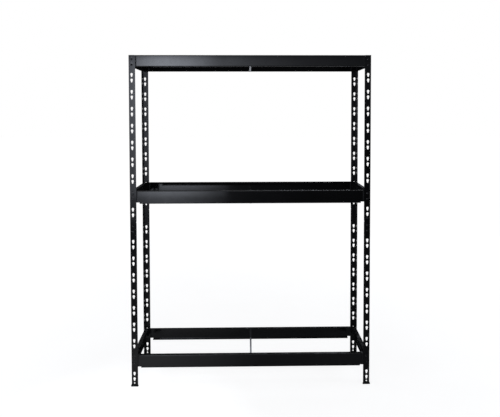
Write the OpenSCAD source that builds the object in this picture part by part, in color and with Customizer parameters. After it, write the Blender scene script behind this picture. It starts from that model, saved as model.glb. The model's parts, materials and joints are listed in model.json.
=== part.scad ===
// Boltless tyre storage rack: four angle posts in two halves each, three levels of hooked-in
// channel beams, and one tie strap under each level.
// X runs along the width, +Y to the rear, +Z up. The origin is on the floor, at the centre.

/* [Rack] */
// Width across the outer faces of the posts
rack_width = 1300; // [900:10:1600]
// Depth across the outer faces of the posts
rack_depth = 400; // [300:10:600]
// Length of one half post
half_post_length = 898; // [896:1:960]
// Hole pair of the upper half post that carries the middle level, counted from its top
middle_pair = 8; // [2:1:8]
// Hole pair of the lower half post that carries the bottom level, counted from its top
bottom_pair = 8; // [2:1:8]

/* [Posts] */
// Width of each leg of a post
post_leg = 35; // [32:1:40]
// Sheet thickness of a post
post_sheet = 1.5; // [1.2:0.1:2]
// Outer radius of the bend of a post
post_bend = 3; // [2.5:0.5:4]
// Radius of the free corners at the ends of a post
post_corner = 5; // [2:0.5:8]
// Distance of the hole row from the outer faces of a post
hole_inset = 16; // [14:0.5:17]

/* [Keyholes] */
// Number of keyhole pairs in one half post
pair_count = 10; // [9:1:10]
// Height from one pair to the next
pair_pitch = 90.5; // [86:0.5:90.5]
// Height between the two keyholes of a pair
pair_spacing = 30; // [28:1:34]
// Distance of the first seat from the top end of a half post
first_seat = 22.5; // [20:0.5:24]
// Diameter of the round entry of a keyhole
entry_diameter = 12.5; // [12:0.5:13]
// Width of the narrow slot that a rivet neck sits in
slot_width = 7; // [7:0.1:8]
// Drop from the centre of the entry to the seat
lock_drop = 11; // [10:0.5:12]
// Diameter of the round hole near the lower end of a half post
end_hole_diameter = 8; // [7:0.5:9]
// Height of that round hole above the lower end
end_hole_height = 16.5; // [16:0.5:19]

/* [Beams] */
// Reach of a middle or bottom beam above the middle of its rivets
beam_above = 32; // [28:0.5:34]
// Reach of a middle or bottom beam below the middle of its rivets
beam_below = 37.5; // [30:0.5:38]
// Reach of a top beam above the middle of its rivets
top_beam_above = 37.5; // [28:0.5:37.5]
// Reach of a top beam below the middle of its rivets
top_beam_below = 23.5; // [23:0.5:32]
// Depth of the top flange of a beam
top_flange = 22; // [18:1:24]
// Depth of the bottom flange of a beam
bottom_flange = 15; // [14:1:18]
// Sheet thickness of a beam
beam_sheet = 1.2; // [1:0.1:1.5]
// Outer radius of the bends of a beam
beam_bend = 4; // [3:0.5:4.5]
// Distance of the end of a beam's web from the outer face of a post
web_end_inset = 4.5; // [4.5:0.5:6]
// Distance of the ends of the flanges from the outer face of a post
flange_inset = 28; // [27:1:31]
// Distance from the outer face of a post to the end of a notch in a lower edge
notch_inset = 52; // [40:1:60]
// Height of the notch in the lower edge of a middle or bottom beam
notch_height = 7.5; // [6:0.5:10]
// Diameter of the shallow mark pressed into the middle of a long beam
centre_mark_diameter = 8; // [6:0.5:10]
// Depth of that mark
centre_mark_depth = 0.5; // [0.3:0.1:0.6]

/* [Rivets] */
// Diameter of a rivet head
rivet_head_diameter = 11; // [10:0.5:11.5]
// Height of a rivet head
rivet_head_height = 2; // [1.5:0.1:2.5]
// Diameter of the neck that hooks into a keyhole
rivet_neck_diameter = 6.4; // [6:0.1:6.4]
// Diameter of the shank through the sheet that holds the rivet
rivet_shank_diameter = 5; // [4:0.1:5.5]
// Diameter of the upset tail of a rivet
rivet_tail_diameter = 8.6; // [7.5:0.1:9]
// Height of the upset tail of a rivet
rivet_tail_height = 1.4; // [1:0.1:1.6]
// Play of a beam between the post and the rivet heads, on each side
hook_play = 0.3; // [0.2:0.1:0.4]

/* [Post connectors] */
// Width of each leg of a connector
connector_leg = 31; // [27:1:32]
// Reach of a connector above the joint of a post
connector_above = 28; // [27:1:32]
// Reach of a connector below the joint of a post
connector_below = 62; // [60:1:68]

/* [Tie straps] */
// Width of a tie strap
strap_width = 10; // [8:1:14]
// Thickness of a tie strap
strap_sheet = 1.5; // [1:0.1:2]
// Distance of a strap's upright end from the outer face of the web it hooks onto
strap_hook_inset = 8; // [7.5:0.5:9]
// Length of the hook that lies on the bottom flange
strap_hook_length = 4; // [3:0.5:4.5]

/* [Feet] */
// Thickness of a foot under the post
foot_base = 1.5; // [1:0.5:3]
// Thickness of the flange around the post
foot_flange = 3.5; // [3:0.5:5]
// Width of the flange
foot_width = 40.5; // [40:0.5:48]
// Reach of the flange beyond the outer faces of the post
foot_flare = 4; // [3.5:0.5:5]
// Reach of the flange into the open inside of the post, from the post's outer faces
foot_inner_reach = 6; // [6:0.5:12]
// Thickness of the walls of the socket
foot_wall = 1.5; // [1.2:0.1:3]
// Height of the whole foot
foot_height = 7; // [6:0.5:14]

/* [Hidden] */
$fn = 64;

LEFT = -1;
RIGHT = 1;
FRONT = -1;
REAR = 1;
POWDER_COAT = [0.10, 0.10, 0.11];
RIVET_STEEL = [0.14, 0.14, 0.15];
GALVANISED = [0.72, 0.73, 0.75];
PLASTIC = [0.05, 0.05, 0.05];

through = 3 * post_sheet;
post_top = foot_base + 2 * half_post_length;
joint_z = foot_base + half_post_length;
web_gap = post_sheet + hook_play;
beam_grip = post_sheet + 2 * hook_play;

// A level: height of the middle of its rivets, reach of its beams above and below that, and
// height and inset of the cut at the ends of their lower edges
TOP = [level_z(post_top, 0), top_beam_above, top_beam_below, beam_bend, flange_inset];
MIDDLE = [level_z(post_top, middle_pair), beam_above, beam_below, notch_height, notch_inset];
BOTTOM = [level_z(joint_z, bottom_pair), beam_above, beam_below, notch_height, notch_inset];
function rivet_z(level) = level[0];
function reach_above(level) = level[1];
function reach_below(level) = level[2];
function cut_height(level) = level[3];
function cut_inset(level) = level[4];

// Height of a seat below the top end of a half post: pair number, then 0 for the upper
// keyhole of the pair or 1 for the lower one
function seat_drop(pair, which) = first_seat + pair * pair_pitch + which * pair_spacing;

// Height of the centre of a beam that hangs in a pair of the half post ending at `top`
function level_z(top, pair) = top - seat_drop(pair, 0) - pair_spacing / 2;

// ---- Shapes used by several pieces ----

// Square from `inset` to `reach` along both axes, rounded at its corner nearest the origin
module rounded_quadrant(inset, radius, reach) {
    side = reach - inset;
    translate([inset, inset]) {
        translate([radius, 0]) square([side - radius, side]);
        translate([0, radius]) square([side, side - radius]);
        translate([radius, radius]) circle(radius);
    }
}

// Section of a bent angle with its outer faces at `inset`
module angle_section(inset, reach, sheet, bend) {
    difference() {
        rounded_quadrant(inset, bend, reach);
        rounded_quadrant(inset + sheet, bend - sheet, reach + 1);
    }
}

// What is left outside a rounded free corner of a leg whose edge is at `edge`
module corner_nip(edge, radius) {
    difference() {
        translate([edge - radius, -1]) square([radius + 1, radius + 1]);
        translate([edge - radius, radius]) circle(radius);
    }
}

// The same nip at both ends of a leg
module corner_nips(edge, radius, length) {
    corner_nip(edge, radius);
    translate([0, length]) mirror([0, 1]) corner_nip(edge, radius);
}

// Cuts the outline of its children through both legs of an upright angle
module through_both_legs() {
    rotate([90, 0, 0]) linear_extrude(2 * through, center = true) children();
    rotate([90, 0, 90]) linear_extrude(2 * through, center = true) children();
}

// Puts its children, drawn at the front left corner of the rack, at the corner named
module at_corner(side, face, z) {
    mirror([side == RIGHT ? 1 : 0, 0, 0])
        mirror([0, face == REAR ? 1 : 0, 0])
            translate([-rack_width / 2, -rack_depth / 2, z]) children();
}

// ---- Posts ----

// Keyhole with its seat at the origin: narrow slot, round entry above, straight flanks
module keyhole() {
    slot_r = slot_width / 2;
    entry_r = entry_diameter / 2;
    lean = asin((entry_r - slot_r) / lock_drop);
    circle(slot_r);
    translate([0, lock_drop]) circle(entry_r);
    polygon([
        [slot_r * cos(lean), -slot_r * sin(lean)],
        [entry_r * cos(lean), lock_drop - entry_r * sin(lean)],
        [-entry_r * cos(lean), lock_drop - entry_r * sin(lean)],
        [-slot_r * cos(lean), -slot_r * sin(lean)]
    ]);
}

// Half post with its lower end at height z
module half_post(side, face, z) {
    color(POWDER_COAT)
        at_corner(side, face, z)
            difference() {
                linear_extrude(half_post_length)
                    angle_section(0, post_leg, post_sheet, post_bend);
                through_both_legs() corner_nips(post_leg, post_corner, half_post_length);
                through_both_legs()
                    translate([hole_inset, end_hole_height]) circle(d = end_hole_diameter);
                through_both_legs()
                    for (pair = [0 : pair_count - 1], which = [0, 1])
                        translate([hole_inset, half_post_length - seat_drop(pair, which)])
                            keyhole();
            }
}

module lower_post(side, face) {
    half_post(side, face, foot_base);
}

module upper_post(side, face) {
    half_post(side, face, joint_z);
}

// ---- Rivets ----

// Step rivet along Y: its shoulder is at the origin, its head points to -Y, and it holds a
// sheet that reaches from the origin to `held`, with `grip` between the sheet and the head
module rivet(grip, held) {
    neck_r = rivet_neck_diameter / 2;
    head_r = rivet_head_diameter / 2;
    tail_r = rivet_tail_diameter / 2;
    rim = rivet_head_height / 4;
    crown = rivet_head_height - rim;
    dome_r = (pow(head_r, 2) + pow(crown, 2)) / (2 * crown);
    color(RIVET_STEEL)
        rotate([90, 0, 0]) {
            cylinder(h = grip + rim / 2, r = neck_r);
            translate([0, 0, grip]) cylinder(h = rim, r = head_r);
            translate([0, 0, grip + rim])
                rotate_extrude()
                    intersection() {
                        translate([0, crown - dome_r]) circle(dome_r);
                        square([head_r, crown]);
                    }
            translate([0, 0, -held - rivet_tail_height / 2])
                cylinder(h = held + rivet_tail_height / 2, d = rivet_shank_diameter);
            translate([0, 0, -held - rivet_tail_height])
                cylinder(h = rivet_tail_height, r = tail_r);
        }
}

// ---- Post connectors ----

// Heights of the connector's rivets above its lower end: the two seats of the first pair in
// the lower half post, then the end hole of the upper half post
function connector_rivet_heights() = [
    connector_below - seat_drop(0, 1),
    connector_below - seat_drop(0, 0),
    connector_below + end_hole_height
];

// Angle inside the post that bridges the joint of its two halves
module connector(side, face) {
    length = connector_above + connector_below;
    reach = post_sheet + connector_leg;
    color(POWDER_COAT)
        at_corner(side, face, joint_z - connector_below)
            difference() {
                linear_extrude(length)
                    angle_section(post_sheet, reach, post_sheet, post_bend);
                through_both_legs() corner_nips(reach, post_corner, length);
                through_both_legs()
                    for (height = connector_rivet_heights())
                        translate([hole_inset, height]) circle(d = rivet_shank_diameter);
            }
}

// The six rivets that fasten one connector to both halves of its post
module connector_rivets(side, face) {
    at_corner(side, face, joint_z - connector_below)
        for (height = connector_rivet_heights()) {
            translate([hole_inset, post_sheet, height]) rivet(post_sheet, post_sheet);
            translate([post_sheet, hole_inset, height])
                rotate([0, 0, -90]) rivet(post_sheet, post_sheet);
        }
}

// ---- Feet ----

// Moulded shoe: a flared flange under the post and a socket around its two legs
module foot(side, face) {
    play = 0.1;
    reach = post_leg + foot_wall;
    inner_wall = post_sheet + foot_wall;
    flange_corner = 6;
    flange_edge = foot_width - foot_flare;
    inner_corner = 5;
    color(PLASTIC)
        at_corner(side, face, 0)
            difference() {
                union() {
                    linear_extrude(foot_flange)
                        difference() {
                            rounded_quadrant(-foot_flare, flange_corner, flange_edge);
                            rounded_quadrant(foot_inner_reach, inner_corner, foot_width);
                        }
                    linear_extrude(foot_height)
                        difference() {
                            rounded_quadrant(-foot_wall, post_bend + foot_wall, reach);
                            rounded_quadrant(inner_wall, post_bend, reach + 1);
                        }
                }
                translate([0, 0, foot_base])
                    linear_extrude(foot_height)
                        difference() {
                            rounded_quadrant(-play, post_bend, post_leg + play);
                            rounded_quadrant(post_sheet + play, post_bend, post_leg + 1);
                        }
            }
}

// ---- Beams ----
// Beams, their rivets and the straps are drawn with the middle of the rivets at z = 0

// Region behind the faces of a channel: depth from `inset` to `reach`, height within the
// beams of the level less `inset` at both edges, rounded at the two corners of the web
module channel_region(level, inset, bend, reach) {
    height = reach_above(level) + reach_below(level) - 2 * inset;
    translate([inset, inset - reach_below(level)]) {
        translate([bend, 0]) square([reach - inset - bend, height]);
        translate([0, bend]) square([reach - inset, height - 2 * bend]);
        for (z = [bend, height - bend]) translate([bend, z]) circle(bend);
    }
}

// Section of a beam: web at the left, deep flange at the top, shallow one at the bottom
module channel_section(level) {
    difference() {
        channel_region(level, 0, beam_bend, top_flange);
        channel_region(level, beam_sheet, beam_bend - beam_sheet, top_flange + 1);
        translate([bottom_flange, -reach_below(level) - 1])
            square([top_flange, reach_below(level)]);
    }
}

// Channel along X, its web's outer face in the XZ plane, for a bay of outer length `span`
module channel_beam(level, span) {
    web_length = span - 2 * web_end_inset;
    difference() {
        rotate([90, 0, 90])
            linear_extrude(web_length, center = true) channel_section(level);
        for (end = [LEFT, RIGHT]) mirror([end == LEFT ? 1 : 0, 0, 0]) {
            translate([span / 2 - cut_inset(level), -1, -reach_below(level) - 1])
                cube([span, bottom_flange + 2, cut_height(level) + 1]);
            translate([span / 2 - flange_inset, beam_sheet, reach_above(level) - beam_bend])
                cube([span, top_flange, beam_bend + 1]);
            for (which = [-1, 1])
                translate([span / 2 - hole_inset, 0, which * pair_spacing / 2])
                    rotate([90, 0, 0])
                        cylinder(h = through, d = rivet_shank_diameter, center = true);
        }
    }
}

// Long beam with the mark at its middle and the slot for the tie strap
module long_beam(face, level) {
    slot_play = 0.5;
    color(POWDER_COAT)
        mirror([0, face == REAR ? 1 : 0, 0])
            translate([0, web_gap - rack_depth / 2, rivet_z(level)])
                difference() {
                    channel_beam(level, rack_width);
                    translate([0, 0, (reach_above(level) - reach_below(level)) / 2])
                        rotate([90, 0, 0])
                            cylinder(h = 2 * centre_mark_depth, d = centre_mark_diameter,
                                center = true);
                    translate([0, strap_hook_inset + strap_sheet / 2, -reach_below(level)])
                        cube([strap_width + 2 * slot_play, strap_sheet + 2 * slot_play,
                            3 * beam_sheet], center = true);
                }
}

module side_beam(side, level) {
    color(POWDER_COAT)
        mirror([side == RIGHT ? 1 : 0, 0, 0])
            translate([web_gap - rack_width / 2, 0, rivet_z(level)])
                rotate([0, 0, -90]) channel_beam(level, rack_depth);
}

// The four rivets of one beam of outer length `span`, drawn like channel_beam
module beam_rivets(span) {
    for (end = [-1, 1], which = [-1, 1])
        translate([end * (span / 2 - hole_inset), 0, which * pair_spacing / 2])
            rivet(beam_grip, beam_sheet);
}

module long_beam_rivets(level) {
    for (face = [FRONT, REAR])
        mirror([0, face == REAR ? 1 : 0, 0])
            translate([0, web_gap - rack_depth / 2, rivet_z(level)]) beam_rivets(rack_width);
}

module side_beam_rivets(side, level) {
    mirror([side == RIGHT ? 1 : 0, 0, 0])
        translate([web_gap - rack_width / 2, 0, rivet_z(level)])
            rotate([0, 0, -90]) beam_rivets(rack_depth);
}

// ---- Tie straps ----

// Flat strap under the two long beams; each end turns up through a slot in the bottom
// flange and folds over onto the flange
module tie_strap(level) {
    upright = rack_depth / 2 - web_gap - strap_hook_inset;
    flange_under = -reach_below(level);
    flange_over = flange_under + beam_sheet;
    color(GALVANISED)
        translate([0, 0, rivet_z(level)])
            rotate([90, 0, 90])
                linear_extrude(strap_width, center = true) {
                    translate([-upright, flange_under - strap_sheet])
                        square([2 * upright, strap_sheet]);
                    for (end = [-1, 1]) mirror([end == -1 ? 1 : 0, 0]) {
                        translate([upright - strap_sheet, flange_under - strap_sheet])
                            square([strap_sheet, 2 * strap_sheet + beam_sheet]);
                        translate([upright - strap_sheet, flange_over])
                            square([strap_hook_length + strap_sheet, strap_sheet]);
                    }
                }
}

lower_post(LEFT, FRONT);  // front_left_lower_post
lower_post(RIGHT, FRONT);  // front_right_lower_post
lower_post(LEFT, REAR);  // rear_left_lower_post
lower_post(RIGHT, REAR);  // rear_right_lower_post
upper_post(LEFT, FRONT);  // front_left_upper_post
upper_post(RIGHT, FRONT);  // front_right_upper_post
upper_post(LEFT, REAR);  // rear_left_upper_post
upper_post(RIGHT, REAR);  // rear_right_upper_post
connector(LEFT, FRONT);  // front_left_connector
connector(RIGHT, FRONT);  // front_right_connector
connector(LEFT, REAR);  // rear_left_connector
connector(RIGHT, REAR);  // rear_right_connector
connector_rivets(LEFT, FRONT);  // front_left_connector_rivets
connector_rivets(RIGHT, FRONT);  // front_right_connector_rivets
connector_rivets(LEFT, REAR);  // rear_left_connector_rivets
connector_rivets(RIGHT, REAR);  // rear_right_connector_rivets
foot(LEFT, FRONT);  // front_left_foot
foot(RIGHT, FRONT);  // front_right_foot
foot(LEFT, REAR);  // rear_left_foot
foot(RIGHT, REAR);  // rear_right_foot
long_beam(FRONT, TOP);  // top_front_beam
long_beam(REAR, TOP);  // top_rear_beam
side_beam(LEFT, TOP);  // top_left_beam
side_beam(RIGHT, TOP);  // top_right_beam
long_beam(FRONT, MIDDLE);  // middle_front_beam
long_beam(REAR, MIDDLE);  // middle_rear_beam
side_beam(LEFT, MIDDLE);  // middle_left_beam
side_beam(RIGHT, MIDDLE);  // middle_right_beam
long_beam(FRONT, BOTTOM);  // bottom_front_beam
long_beam(REAR, BOTTOM);  // bottom_rear_beam
side_beam(LEFT, BOTTOM);  // bottom_left_beam
side_beam(RIGHT, BOTTOM);  // bottom_right_beam
long_beam_rivets(TOP);  // top_long_beam_rivets
side_beam_rivets(LEFT, TOP);  // top_left_beam_rivets
side_beam_rivets(RIGHT, TOP);  // top_right_beam_rivets
long_beam_rivets(MIDDLE);  // middle_long_beam_rivets
side_beam_rivets(LEFT, MIDDLE);  // middle_left_beam_rivets
side_beam_rivets(RIGHT, MIDDLE);  // middle_right_beam_rivets
long_beam_rivets(BOTTOM);  // bottom_long_beam_rivets
side_beam_rivets(LEFT, BOTTOM);  // bottom_left_beam_rivets
side_beam_rivets(RIGHT, BOTTOM);  // bottom_right_beam_rivets
tie_strap(TOP);  // top_tie_strap
tie_strap(MIDDLE);  // middle_tie_strap
tie_strap(BOTTOM);  // bottom_tie_strap
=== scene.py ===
"""Boltless tyre storage rack: looks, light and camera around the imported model."""

import json
import math

import bpy
from mathutils import Matrix, Vector


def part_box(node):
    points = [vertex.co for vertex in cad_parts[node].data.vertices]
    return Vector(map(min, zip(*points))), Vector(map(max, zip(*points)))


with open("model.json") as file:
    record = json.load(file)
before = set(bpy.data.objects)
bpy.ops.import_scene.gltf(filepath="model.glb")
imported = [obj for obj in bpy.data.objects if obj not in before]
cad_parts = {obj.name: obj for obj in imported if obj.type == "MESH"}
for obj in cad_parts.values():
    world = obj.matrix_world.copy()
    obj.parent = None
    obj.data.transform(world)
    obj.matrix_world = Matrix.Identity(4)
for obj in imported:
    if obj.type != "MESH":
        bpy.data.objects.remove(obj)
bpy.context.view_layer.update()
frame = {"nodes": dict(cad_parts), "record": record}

# ---- Camera: the viewing angle of the reference picture ----
SENSOR = 36.0
FOCAL_RATIO = 1.1392  # focal length over picture width
CAMERA_PLACE = Vector((-0.0122, -3.2620, 1.4917))
YAW = math.radians(1.120)  # turned towards +X
PITCH = math.radians(2.214)  # tipped down
ROLL = math.radians(-0.084)
SHIFT_X = -0.0187
SHIFT_Y = -0.1486


def make_camera():
    data = bpy.data.cameras.new("camera")
    data.sensor_width = SENSOR
    data.lens = SENSOR * FOCAL_RATIO
    data.shift_x = SHIFT_X
    data.shift_y = SHIFT_Y
    data.clip_start = 0.05
    data.clip_end = 100
    camera = bpy.data.objects.new("camera", data)
    turn = (Matrix.Rotation(-YAW, 4, "Z") @ Matrix.Rotation(math.pi / 2 - PITCH, 4, "X")
            @ Matrix.Rotation(ROLL, 4, "Z"))
    camera.matrix_world = Matrix.Translation(CAMERA_PLACE) @ turn
    bpy.context.scene.collection.objects.link(camera)
    bpy.context.scene.camera = camera


# ---- Node helpers ----
def new_material(name):
    """A material with its nodes, its links and its shader."""
    material = bpy.data.materials.new(name)
    material.use_nodes = True
    nodes = material.node_tree.nodes
    return material, nodes, material.node_tree.links, nodes["Principled BSDF"]


def noise(nodes, links, coords, scale, detail=2.0, rough=0.5):
    """Soft random pattern, with about `scale` blotches to the metre."""
    node = nodes.new("ShaderNodeTexNoise")
    node.inputs["Scale"].default_value = scale
    node.inputs["Detail"].default_value = detail
    node.inputs["Roughness"].default_value = rough
    links.new(coords, node.inputs["Vector"])
    return node.outputs["Fac"]


def ramp(nodes, links, value, low, high, at=(0.3, 0.7)):
    """Maps value to a colour or grey between low and high."""
    node = nodes.new("ShaderNodeValToRGB")
    for element, place, colour in zip(node.color_ramp.elements, at, (low, high)):
        element.position = place
        element.color = (*colour, 1) if isinstance(colour, tuple) else (colour,) * 3 + (1,)
    links.new(value, node.inputs["Fac"])
    return node.outputs["Color"]


def bump(nodes, links, height, distance, normal=None):
    """Normal of a surface raised by up to `distance` metres, on top of another bump's normal."""
    node = nodes.new("ShaderNodeBump")
    node.inputs["Distance"].default_value = distance
    node.inputs["Strength"].default_value = 1.0
    links.new(height, node.inputs["Height"])
    if normal is not None:
        links.new(normal, node.inputs["Normal"])
    return node.outputs["Normal"]


def object_coords(nodes):
    return nodes.new("ShaderNodeTexCoord").outputs["Object"]


def calc(nodes, links, operation, *values):
    """One math node; each value is a number or a socket."""
    node = nodes.new("ShaderNodeMath")
    node.operation = operation
    for socket, value in zip(node.inputs, values):
        if isinstance(value, (int, float)):
            socket.default_value = value
        else:
            links.new(value, socket)
    return node.outputs[0]


def split(nodes, links, vector):
    """The X, Y and Z sockets of a vector."""
    node = nodes.new("ShaderNodeSeparateXYZ")
    links.new(vector, node.inputs["Vector"])
    return node.outputs


def stretched(nodes, links, coords, scale):
    """Coordinates for a pattern drawn out along the axes with a small scale."""
    node = nodes.new("ShaderNodeMapping")
    node.inputs["Scale"].default_value = scale
    links.new(coords, node.inputs["Vector"])
    return node.outputs["Vector"]


def mixed(nodes, links, factor, a, b):
    """Colour a where factor is 0 and b where it is 1; each is a colour or a socket."""
    node = nodes.new("ShaderNodeMix")
    node.data_type = "RGBA"
    links.new(factor, node.inputs["Factor"])
    for socket, value in ((node.inputs["A"], a), (node.inputs["B"], b)):
        if isinstance(value, tuple):
            socket.default_value = (*value, 1)
        else:
            links.new(value, socket)
    return node.outputs["Result"]


# ---- Materials ----
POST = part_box("front_left_upper_post")
LEG_EDGE_X, LEG_EDGE_Y = abs(POST[1][0]), abs(POST[1][1])  # where the legs of a post end
GRIME_WIDTH = 0.006
GRIME_FULL = 1.4  # above 1, so that the line is fully dull before it starts to fade
GRIME_DULL = 0.6
DUST_DULL = 0.5
SCUFF_DULL = 0.10
LOOKS_UP = 0.8  # a normal's Z above this is a face that dust settles on
LOOKS_IN = -0.02  # metres; place times normal is lower on the faces that look into the rack
DUST = (0.075, 0.073, 0.070)
COAT = (0.0032, 0.0032, 0.0035)
COAT_TINT = (0.005, 0.005, 0.0055)
RIVET_COAT = COAT_TINT
RIVET_TINT = (0.009, 0.009, 0.010)


def inward(nodes, links):
    """1 on the upright faces that look into the rack, else 0."""
    texture = nodes.new("ShaderNodeTexCoord")
    place = split(nodes, links, texture.outputs["Object"])
    normal = split(nodes, links, texture.outputs["Normal"])
    along_x = calc(nodes, links, "MULTIPLY", place["X"], normal["X"])
    outward = calc(nodes, links, "MULTIPLY_ADD", place["Y"], normal["Y"], along_x)
    return calc(nodes, links, "LESS_THAN", outward, LOOKS_IN)


def leg_line(nodes, links, coords):
    """1 fading to 0 on the beams just beside the free edges of the posts' legs."""
    place = split(nodes, links, coords)
    lines = []
    for axis, edge in (("X", LEG_EDGE_X), ("Y", LEG_EDGE_Y)):
        away = calc(nodes, links, "SUBTRACT", edge, calc(nodes, links, "ABSOLUTE", place[axis]))
        widths = calc(nodes, links, "DIVIDE", away, GRIME_WIDTH)
        fade = calc(nodes, links, "SUBTRACT", GRIME_FULL, widths)
        on = calc(nodes, links, "GREATER_THAN", away, 0.0)
        lines.append(calc(nodes, links, "MULTIPLY", calc(nodes, links, "MAXIMUM", fade, 0.0), on))
    return calc(nodes, links, "MINIMUM", calc(nodes, links, "MAXIMUM", *lines), 1.0)


def settled_dust(nodes, links, coords):
    """Patchy dust on faces that look up, as a factor."""
    normal = split(nodes, links, nodes.new("ShaderNodeTexCoord").outputs["Normal"])
    level = calc(nodes, links, "GREATER_THAN", normal["Z"], LOOKS_UP)
    patches = ramp(nodes, links, noise(nodes, links, coords, 24.0, 6.0, 0.65), 0.0, 0.55, (0.42, 0.75))
    return calc(nodes, links, "MULTIPLY", patches, level)


def powder_coat(name, base, tint, roughness, specular=0.5, dull_inside=0.0):
    """Baked powder coat: fine orange peel, faint waves of the sheet, slightly uneven gloss.

    Inside an angle the powder lies thinner and duller, by `dull_inside`. Dust lies on faces that
    look up, fine scuffs run along the pieces, and grime dulls the beams beside the posts.
    """
    material, nodes, links, shader = new_material(name)
    coords = object_coords(nodes)
    cloud = noise(nodes, links, coords, 7.0, 3.0)
    dust = settled_dust(nodes, links, coords)
    coat = ramp(nodes, links, cloud, base, tint)
    links.new(mixed(nodes, links, dust, coat, DUST), shader.inputs["Base Color"])

    gloss = ramp(nodes, links, noise(nodes, links, coords, 38.0, 4.0, 0.6),
                 roughness - 0.015, roughness + 0.02)
    level_scuffs = noise(nodes, links, stretched(nodes, links, coords, (14, 14, 420)), 1.0, 3.0)
    upright_scuffs = noise(nodes, links, stretched(nodes, links, coords, (420, 420, 14)), 1.0, 3.0)
    scuffs = ramp(nodes, links, calc(nodes, links, "MAXIMUM", level_scuffs, upright_scuffs),
                  0.0, 1.0, (0.70, 0.78))
    dull = calc(nodes, links, "MULTIPLY_ADD", inward(nodes, links), dull_inside, gloss)
    dull = calc(nodes, links, "MULTIPLY_ADD", scuffs, SCUFF_DULL, dull)
    dull = calc(nodes, links, "MULTIPLY_ADD", dust, DUST_DULL, dull)
    dull = calc(nodes, links, "MULTIPLY_ADD", leg_line(nodes, links, coords), GRIME_DULL, dull)
    links.new(dull, shader.inputs["Roughness"])
    shader.inputs["Specular IOR Level"].default_value = specular
    wave = bump(nodes, links, noise(nodes, links, coords, 9.0, 1.0), 0.0001)
    peel = bump(nodes, links, noise(nodes, links, coords, 620.0, 1.0), 0.0000025, wave)
    links.new(peel, shader.inputs["Normal"])
    return material


def galvanised(name):
    """Zinc-coated strip: soft crystal spangle and fine rolling marks along its length."""
    material, nodes, links, shader = new_material(name)
    coords = object_coords(nodes)
    cells = nodes.new("ShaderNodeTexVoronoi")
    cells.inputs["Scale"].default_value = 210.0
    links.new(coords, cells.inputs["Vector"])
    links.new(ramp(nodes, links, cells.outputs["Color"], (0.66, 0.67, 0.69), (0.82, 0.83, 0.85),
                   (0.1, 0.9)), shader.inputs["Base Color"])
    shader.inputs["Metallic"].default_value = 0.45
    links.new(ramp(nodes, links, cells.outputs["Color"], 0.30, 0.46, (0.1, 0.9)),
              shader.inputs["Roughness"])
    rolling = noise(nodes, links, stretched(nodes, links, coords, (1400, 12, 1400)), 1.0, 2.0)
    links.new(bump(nodes, links, rolling, 0.00002), shader.inputs["Normal"])
    return material


def moulded_plastic(name):
    """Black moulded plastic with an eroded grain and a little dust in it."""
    material, nodes, links, shader = new_material(name)
    coords = object_coords(nodes)
    dust = noise(nodes, links, coords, 60.0, 5.0, 0.6)
    links.new(ramp(nodes, links, dust, (0.012, 0.012, 0.012), (0.03, 0.029, 0.028), (0.45, 0.8)),
              shader.inputs["Base Color"])
    grain = noise(nodes, links, coords, 1500.0, 3.0, 0.7)
    links.new(ramp(nodes, links, grain, 0.48, 0.62), shader.inputs["Roughness"])
    links.new(bump(nodes, links, grain, 0.00008), shader.inputs["Normal"])
    return material


# ---- Light and floor ----
PANEL_REACH = 3.5  # from the rack's middle to a panel, just behind the camera at the front
CORNER_REACH = 4.6
COOL = (0.84, 0.89, 1.0)
KEY_RADIANCE = 6.4
FILL_RADIANCE = 1.9
BACK_RADIANCE = 3.0
SIDE_RADIANCE = 4.0
SURROUND_SEEN = (1.0, 1.0, 1.0)
SURROUND_REFLECTED = (0.035, 0.035, 0.037)

# Stops of the panels, as (metres, strength): across from left to right before the panel is turned,
# or up from the floor
KEY_ACROSS = ((-1.7, 0.25), (-1.3, 0.44), (-1.1, 0.88), (-0.95, 1.0), (-0.7, 0.8), (-0.4, 0.33),
              (-0.26, 0.2))
KEY_UP = ((0.0, 0.02), (0.26, 0.04), (0.29, 0.2), (0.545, 0.19), (0.565, 0.52), (0.9, 0.55),
          (1.7, 1.0), (2.09, 1.0), (2.115, 0.45), (2.14, 0.2))
FILL_ACROSS = ((-0.26, 0.88), (-0.2, 0.78), (0.1, 0.42), (0.6, 0.19), (1.0, 0.12), (1.5, 0.05))
FILL_UP = ((0.2, 0.03), (0.9, 0.1), (1.6, 0.9), (2.09, 1.0), (2.115, 0.45), (2.14, 0.2))
BACK_ACROSS = ((-1.6, 0.0), (-1.2, 1.0), (-0.5, 0.5), (0.4, 0.12), (1.5, 0.05))
BACK_UP = ((0.0, 0.03), (0.5, 0.4), (1.1, 0.4), (1.15, 0.0), (2.0, 0.0), (2.2, 1.0), (2.9, 1.0))
SIDE_ACROSS = ((-1.2, 0.3), (-0.6, 1.0), (0.1, 0.6), (0.8, 0.15))
SIDE_UP = ((0.0, 0.03), (0.5, 0.35), (1.2, 0.5), (1.8, 1.0), (2.8, 1.0))
CORNER_ACROSS = ((-1.4, 0.0), (-0.4, 1.0), (0.4, 1.0), (1.4, 0.0))
CORNER_UP = ((0.0, 0.05), (1.2, 0.5), (2.0, 1.0), (3.0, 1.0))
CORNERS = ((-45, 2.2), (45, 0.8), (135, 2.2), (-135, 0.8))  # degrees round the rack, radiance


def softbox(name, place, target, size, radiance, colour=(1, 1, 1)):
    """Area light of a given brightness per area, so that its size can change on its own."""
    data = bpy.data.lights.new(name, "AREA")
    data.shape = "RECTANGLE"
    data.size, data.size_y = size
    data.energy = radiance * math.pi * size[0] * size[1]
    data.color = colour
    light = bpy.data.objects.new(name, data)
    light.location = place
    light.rotation_euler = (Vector(target) - Vector(place)).to_track_quat("-Z", "Y").to_euler()
    light.visible_camera = False
    bpy.context.scene.collection.objects.link(light)
    return light


def camera_ray(nodes):
    return nodes.new("ShaderNodeLightPath").outputs["Is Camera Ray"]


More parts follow.
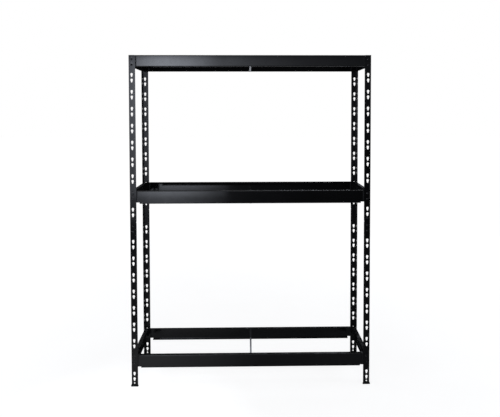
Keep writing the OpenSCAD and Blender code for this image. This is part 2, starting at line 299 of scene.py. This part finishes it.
def falloff(nodes, links, value, stops):
    """Strength of a light along one axis, from (place in metres, strength) stops."""
    low, high = stops[0][0], stops[-1][0]
    place = nodes.new("ShaderNodeMapRange")
    place.inputs["From Min"].default_value = low
    place.inputs["From Max"].default_value = high
    links.new(value, place.inputs["Value"])
    node = nodes.new("ShaderNodeValToRGB")
    elements = node.color_ramp.elements
    while len(elements) < len(stops):
        elements.new(0.5)
    for element, (metres, strength) in zip(elements, stops):
        element.position = (metres - low) / (high - low)
        element.color = (strength, strength, strength, 1)
    links.new(place.outputs["Result"], node.inputs["Fac"])
    return node.outputs["Color"]


def graded_panel(name, across, upright, radiance, colour, turn=0.0, reach=PANEL_REACH):
    """Upright panel whose light fades along its width and height by the stops given.

    It faces the rack from the front, turned round the rack by `turn` degrees.
    """
    low_x, high_x, low_z, high_z = across[0][0], across[-1][0], upright[0][0], upright[-1][0]
    round_rack = Matrix.Rotation(math.radians(turn), 3, "Z")
    middle = round_rack @ Vector(((low_x + high_x) / 2, -reach, (low_z + high_z) / 2))
    panel = softbox(name, middle, middle + round_rack @ Vector((0, 1, 0)),
                    (high_x - low_x, high_z - low_z), radiance, colour)
    panel.data.use_nodes = True
    nodes, links = panel.data.node_tree.nodes, panel.data.node_tree.links
    turned = nodes.new("ShaderNodeVectorRotate")
    turned.rotation_type = "Z_AXIS"
    turned.inputs["Angle"].default_value = math.radians(-turn)
    links.new(nodes.new("ShaderNodeNewGeometry").outputs["Position"], turned.inputs["Vector"])
    place = split(nodes, links, turned.outputs["Vector"])
    strength = calc(nodes, links, "MULTIPLY", falloff(nodes, links, place["X"], across),
                    falloff(nodes, links, place["Z"], upright))
    links.new(strength, nodes["Emission"].inputs["Strength"])


def make_studio():
    """Surroundings that are white in view and dark in reflections, and panels all round the rack."""
    world = bpy.data.worlds.new("studio")
    bpy.context.scene.world = world
    world.use_nodes = True
    nodes, links = world.node_tree.nodes, world.node_tree.links
    links.new(mixed(nodes, links, camera_ray(nodes), SURROUND_REFLECTED, SURROUND_SEEN),
              nodes["Background"].inputs["Color"])
    graded_panel("key_panel", KEY_ACROSS, KEY_UP, KEY_RADIANCE, COOL)
    graded_panel("fill_panel", FILL_ACROSS, FILL_UP, FILL_RADIANCE, COOL)
    softbox("top_softbox", (0.0, -0.4, 4.2), (0.0, 0.0, 0.0), (4.0, 3.0), 0.6)
    softbox("floor_bounce", (0.0, 1.2, 0.02), (0.0, 1.2, 1.0), (2.4, 1.2), 1.5)
    # A dark band at the camera's height keeps the beams' flanges black in the main view
    graded_panel("back_panel", BACK_ACROSS, BACK_UP, BACK_RADIANCE, COOL, 180)
    graded_panel("right_panel", SIDE_ACROSS, SIDE_UP, SIDE_RADIANCE, COOL, 90)
    graded_panel("left_panel", SIDE_ACROSS, SIDE_UP, SIDE_RADIANCE, COOL, -90)
    for number, (turn, radiance) in enumerate(CORNERS, start=1):
        graded_panel("corner_panel_%d" % number, CORNER_ACROSS, CORNER_UP, radiance, COOL,
                     turn, CORNER_REACH)


FLOOR_SIZE = 60
PAINTED_POOL_MIDDLE = (-0.62, -0.55, 0.0)  # middle of the painted pool of light on the floor that lights the rack's lower left
PAINTED_POOL_FADE = (0.1, 0.68)  # metres from there at which it starts and ends to fade
PAINTED_POOL_GLOW = 0.15
PAINTED_POOL_COLOUR = (0.8, 0.8, 0.8)
GLOW_NEAR = (1.0, 0.86)  # metres from the rack and the floor's glow there, as the camera sees it
GLOW_FAR = (5.0, 1.0)


def make_floor():
    """White floor with soft shadows. In reflections it is dimmer than in view, except in a painted
    pool of light: paler there, and glowing in reflections.
    """
    bpy.ops.mesh.primitive_plane_add(size=FLOOR_SIZE)
    floor = bpy.context.object
    floor.name = "floor"
    material, nodes, links, shader = new_material("pale_floor")
    coords = object_coords(nodes)
    away = nodes.new("ShaderNodeVectorMath")
    away.operation = "DISTANCE"
    links.new(coords, away.inputs[0])
    away.inputs[1].default_value = PAINTED_POOL_MIDDLE
    # Painted pool of light: a paler floor colour near the rack's lower left
    painted_pool = ramp(nodes, links, away.outputs["Value"], 1.0, 0.0, PAINTED_POOL_FADE)
    dim = ramp(nodes, links, noise(nodes, links, coords, 3.0, 4.0), 0.30, 0.33)
    links.new(mixed(nodes, links, painted_pool, dim, PAINTED_POOL_COLOUR), shader.inputs["Base Color"])
    shader.inputs["Roughness"].default_value = 0.9
    shader.inputs["Specular IOR Level"].default_value = 0.0
    shader.inputs["Emission Color"].default_value = (1, 1, 1, 1)
    distance = nodes.new("ShaderNodeVectorMath")
    distance.operation = "LENGTH"
    links.new(coords, distance.inputs[0])
    seen = nodes.new("ShaderNodeMapRange")
    seen.inputs["From Min"].default_value, seen.inputs["To Min"].default_value = GLOW_NEAR
    seen.inputs["From Max"].default_value, seen.inputs["To Max"].default_value = GLOW_FAR
    links.new(distance.outputs["Value"], seen.inputs["Value"])
    # The painted pool of light glows in reflections only, though it is no lamp
    reflected = calc(nodes, links, "MULTIPLY", painted_pool, PAINTED_POOL_GLOW)
    links.new(mixed(nodes, links, camera_ray(nodes), reflected, seen.outputs["Result"]),
              shader.inputs["Emission Strength"])
    floor.data.materials.append(material)


# ---- Dress the CAD nodes ----
MATERIALS = {
    "powder_coat": powder_coat("powder_coat", COAT, COAT_TINT, 0.07),
    "rivet_steel": powder_coat("rivet_steel", RIVET_COAT, RIVET_TINT, 0.13),
    "galvanised_strap": galvanised("galvanised_strap"),
    "foot_plastic": moulded_plastic("foot_plastic"),
}
# The posts and connectors have the same coat, a little less glossy
ANGLE_COAT = powder_coat("angle_coat", COAT, COAT_TINT, 0.08, specular=0.38, dull_inside=0.24)


def dress_nodes():
    for part in frame["record"]["subparts"]:
        node = frame["nodes"][part["node"]]
        angle = part["node"].endswith(("_post", "_connector"))
        node.data.materials.clear()
        node.data.materials.append(ANGLE_COAT if angle else MATERIALS[part["material_slot"]])


make_camera()
make_studio()
make_floor()
dress_nodes()
bpy.context.scene.view_settings.view_transform = "Standard"
